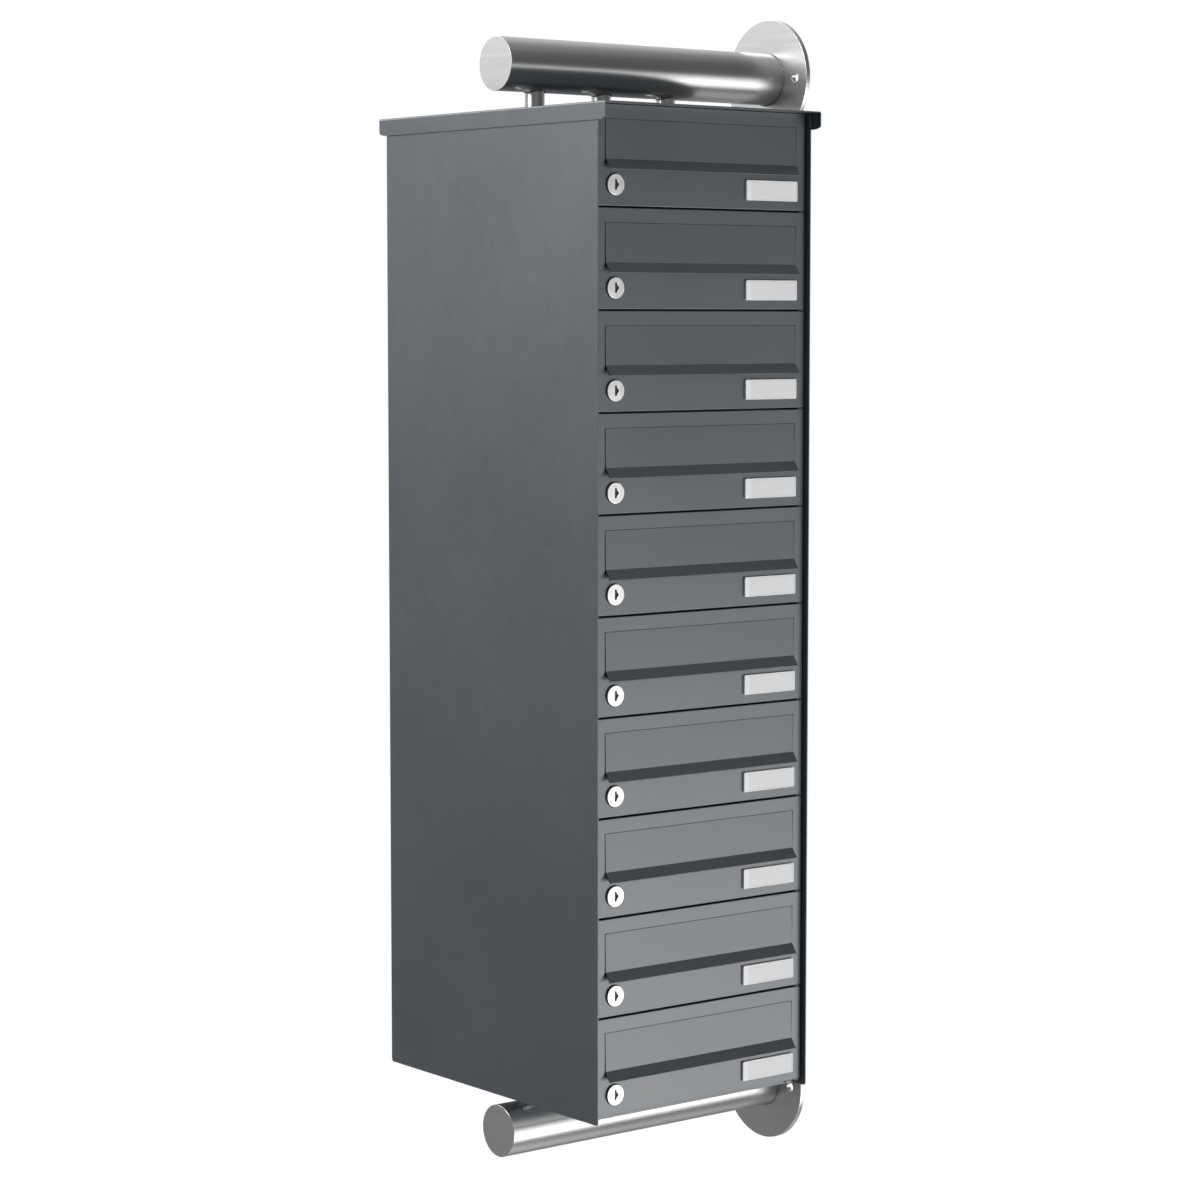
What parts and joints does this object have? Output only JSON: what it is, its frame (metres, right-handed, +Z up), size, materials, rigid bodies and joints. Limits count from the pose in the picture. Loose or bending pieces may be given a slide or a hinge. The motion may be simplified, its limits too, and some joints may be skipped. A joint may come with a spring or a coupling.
{
  "type": "cluster mailbox unit",
  "caption": "Column of stacked letter boxes with locking doors, posting flaps and name plates, held from a side wall by two round tubes.",
  "frame": {"origin": "centre of the top wall plate's back face, where it touches the side wall", "axes": "+Z up, +X into the wall, the doors face -Y"},
  "size_m": [0.4187, 0.4205, 1.345],
  "materials": {
    "powder_coat": "semi-matt anthracite powder coat",
    "zinc_plated_steel": "zinc plated",
    "stainless_steel": "ground stainless steel",
    "lock_nickel": "nickel plated",
    "name_plate_plastic": "light satin plastic"
  },
  "bodies": {
    "housing": {"left_side_panel": "powder_coat", "right_side_panel": "powder_coat", "roof_cap": "powder_coat", "back_panel": "powder_coat", "base_panel": "powder_coat", "catch_rail": "zinc_plated_steel", "hinge_rail": "powder_coat", "shelf_01": "powder_coat", "shelf_02": "powder_coat", "shelf_03": "powder_coat", "shelf_04": "powder_coat", "shelf_05": "powder_coat", "shelf_06": "powder_coat", "shelf_07": "powder_coat", "shelf_08": "powder_coat", "shelf_09": "powder_coat", "top_tube": "stainless_steel", "bottom_tube": "stainless_steel", "top_wall_plate": "stainless_steel", "bottom_wall_plate": "stainless_steel"},
    "door_01": {"door_01": "powder_coat", "name_plate_01": "name_plate_plastic"},
    "flap_01": {"flap_01": "powder_coat"},
    "lock_01": {"lock_01": "lock_nickel"},
    "door_02": {"door_02": "powder_coat", "name_plate_02": "name_plate_plastic"},
    "flap_02": {"flap_02": "powder_coat"},
    "lock_02": {"lock_02": "lock_nickel"},
    "door_03": {"door_03": "powder_coat", "name_plate_03": "name_plate_plastic"},
    "flap_03": {"flap_03": "powder_coat"},
    "lock_03": {"lock_03": "lock_nickel"},
    "door_04": {"door_04": "powder_coat", "name_plate_04": "name_plate_plastic"},
    "flap_04": {"flap_04": "powder_coat"},
    "lock_04": {"lock_04": "lock_nickel"},
    "door_05": {"door_05": "powder_coat", "name_plate_05": "name_plate_plastic"},
    "flap_05": {"flap_05": "powder_coat"},
    "lock_05": {"lock_05": "lock_nickel"},
    "door_06": {"door_06": "powder_coat", "name_plate_06": "name_plate_plastic"},
    "flap_06": {"flap_06": "powder_coat"},
    "lock_06": {"lock_06": "lock_nickel"},
    "door_07": {"door_07": "powder_coat", "name_plate_07": "name_plate_plastic"},
    "flap_07": {"flap_07": "powder_coat"},
    "lock_07": {"lock_07": "lock_nickel"},
    "door_08": {"door_08": "powder_coat", "name_plate_08": "name_plate_plastic"},
    "flap_08": {"flap_08": "powder_coat"},
    "lock_08": {"lock_08": "lock_nickel"},
    "door_09": {"door_09": "powder_coat", "name_plate_09": "name_plate_plastic"},
    "flap_09": {"flap_09": "powder_coat"},
    "lock_09": {"lock_09": "lock_nickel"},
    "door_10": {"door_10": "powder_coat", "name_plate_10": "name_plate_plastic"},
    "flap_10": {"flap_10": "powder_coat"},
    "lock_10": {"lock_10": "lock_nickel"}
  },
  "joints": [
    {"name": "door_hinge_01", "type": "hinge", "parent": "housing", "child": "door_01", "pos_m": [-0.1179, -0.1864, -0.1077], "axis": [0, 0, 1], "range_deg": [0, 90]},
    {"name": "flap_hinge_01", "type": "hinge", "parent": "door_01", "child": "flap_01", "pos_m": [-0.2648, -0.1868, -0.0728], "axis": [-1, 0, 0], "range_deg": [0, 60]},
    {"name": "lock_turn_01", "type": "hinge", "parent": "door_01", "child": "lock_01", "pos_m": [-0.3881, -0.1894, -0.1391], "axis": [0, -1, 0], "range_deg": [0, 90]},
    {"name": "door_hinge_02", "type": "hinge", "parent": "housing", "child": "door_02", "pos_m": [-0.1179, -0.1864, -0.2177], "axis": [0, 0, 1], "range_deg": [0, 90]},
    {"name": "flap_hinge_02", "type": "hinge", "parent": "door_02", "child": "flap_02", "pos_m": [-0.2648, -0.1868, -0.1828], "axis": [-1, 0, 0], "range_deg": [0, 60]},
    {"name": "lock_turn_02", "type": "hinge", "parent": "door_02", "child": "lock_02", "pos_m": [-0.3881, -0.1894, -0.2491], "axis": [0, -1, 0], "range_deg": [0, 90]},
    {"name": "door_hinge_03", "type": "hinge", "parent": "housing", "child": "door_03", "pos_m": [-0.1179, -0.1864, -0.3277], "axis": [0, 0, 1], "range_deg": [0, 90]},
    {"name": "flap_hinge_03", "type": "hinge", "parent": "door_03", "child": "flap_03", "pos_m": [-0.2648, -0.1868, -0.2928], "axis": [-1, 0, 0], "range_deg": [0, 60]},
    {"name": "lock_turn_03", "type": "hinge", "parent": "door_03", "child": "lock_03", "pos_m": [-0.3881, -0.1894, -0.3591], "axis": [0, -1, 0], "range_deg": [0, 90]},
    {"name": "door_hinge_04", "type": "hinge", "parent": "housing", "child": "door_04", "pos_m": [-0.1179, -0.1864, -0.4377], "axis": [0, 0, 1], "range_deg": [0, 90]},
    {"name": "flap_hinge_04", "type": "hinge", "parent": "door_04", "child": "flap_04", "pos_m": [-0.2648, -0.1868, -0.4028], "axis": [-1, 0, 0], "range_deg": [0, 60]},
    {"name": "lock_turn_04", "type": "hinge", "parent": "door_04", "child": "lock_04", "pos_m": [-0.3881, -0.1894, -0.4691], "axis": [0, -1, 0], "range_deg": [0, 90]},
    {"name": "door_hinge_05", "type": "hinge", "parent": "housing", "child": "door_05", "pos_m": [-0.1179, -0.1864, -0.5477], "axis": [0, 0, 1], "range_deg": [0, 90]},
    {"name": "flap_hinge_05", "type": "hinge", "parent": "door_05", "child": "flap_05", "pos_m": [-0.2648, -0.1868, -0.5128], "axis": [-1, 0, 0], "range_deg": [0, 60]},
    {"name": "lock_turn_05", "type": "hinge", "parent": "door_05", "child": "lock_05", "pos_m": [-0.3881, -0.1894, -0.5791], "axis": [0, -1, 0], "range_deg": [0, 90]},
    {"name": "door_hinge_06", "type": "hinge", "parent": "housing", "child": "door_06", "pos_m": [-0.1179, -0.1864, -0.6577], "axis": [0, 0, 1], "range_deg": [0, 90]},
    {"name": "flap_hinge_06", "type": "hinge", "parent": "door_06", "child": "flap_06", "pos_m": [-0.2648, -0.1868, -0.6228], "axis": [-1, 0, 0], "range_deg": [0, 60]},
    {"name": "lock_turn_06", "type": "hinge", "parent": "door_06", "child": "lock_06", "pos_m": [-0.3881, -0.1894, -0.6891], "axis": [0, -1, 0], "range_deg": [0, 90]},
    {"name": "door_hinge_07", "type": "hinge", "parent": "housing", "child": "door_07", "pos_m": [-0.1179, -0.1864, -0.7677], "axis": [0, 0, 1], "range_deg": [0, 90]},
    {"name": "flap_hinge_07", "type": "hinge", "parent": "door_07", "child": "flap_07", "pos_m": [-0.2648, -0.1868, -0.7328], "axis": [-1, 0, 0], "range_deg": [0, 60]},
    {"name": "lock_turn_07", "type": "hinge", "parent": "door_07", "child": "lock_07", "pos_m": [-0.3881, -0.1894, -0.7991], "axis": [0, -1, 0], "range_deg": [0, 90]},
    {"name": "door_hinge_08", "type": "hinge", "parent": "housing", "child": "door_08", "pos_m": [-0.1179, -0.1864, -0.8777], "axis": [0, 0, 1], "range_deg": [0, 90]},
    {"name": "flap_hinge_08", "type": "hinge", "parent": "door_08", "child": "flap_08", "pos_m": [-0.2648, -0.1868, -0.8428], "axis": [-1, 0, 0], "range_deg": [0, 60]},
    {"name": "lock_turn_08", "type": "hinge", "parent": "door_08", "child": "lock_08", "pos_m": [-0.3881, -0.1894, -0.9091], "axis": [0, -1, 0], "range_deg": [0, 90]},
    {"name": "door_hinge_09", "type": "hinge", "parent": "housing", "child": "door_09", "pos_m": [-0.1179, -0.1864, -0.9877], "axis": [0, 0, 1], "range_deg": [0, 90]},
    {"name": "flap_hinge_09", "type": "hinge", "parent": "door_09", "child": "flap_09", "pos_m": [-0.2648, -0.1868, -0.9528], "axis": [-1, 0, 0], "range_deg": [0, 60]},
    {"name": "lock_turn_09", "type": "hinge", "parent": "door_09", "child": "lock_09", "pos_m": [-0.3881, -0.1894, -1.0191], "axis": [0, -1, 0], "range_deg": [0, 90]},
    {"name": "door_hinge_10", "type": "hinge", "parent": "housing", "child": "door_10", "pos_m": [-0.1179, -0.1864, -1.0977], "axis": [0, 0, 1], "range_deg": [0, 90]},
    {"name": "flap_hinge_10", "type": "hinge", "parent": "door_10", "child": "flap_10", "pos_m": [-0.2648, -0.1868, -1.0628], "axis": [-1, 0, 0], "range_deg": [0, 60]},
    {"name": "lock_turn_10", "type": "hinge", "parent": "door_10", "child": "lock_10", "pos_m": [-0.3881, -0.1894, -1.1291], "axis": [0, -1, 0], "range_deg": [0, 90]}
  ]
}
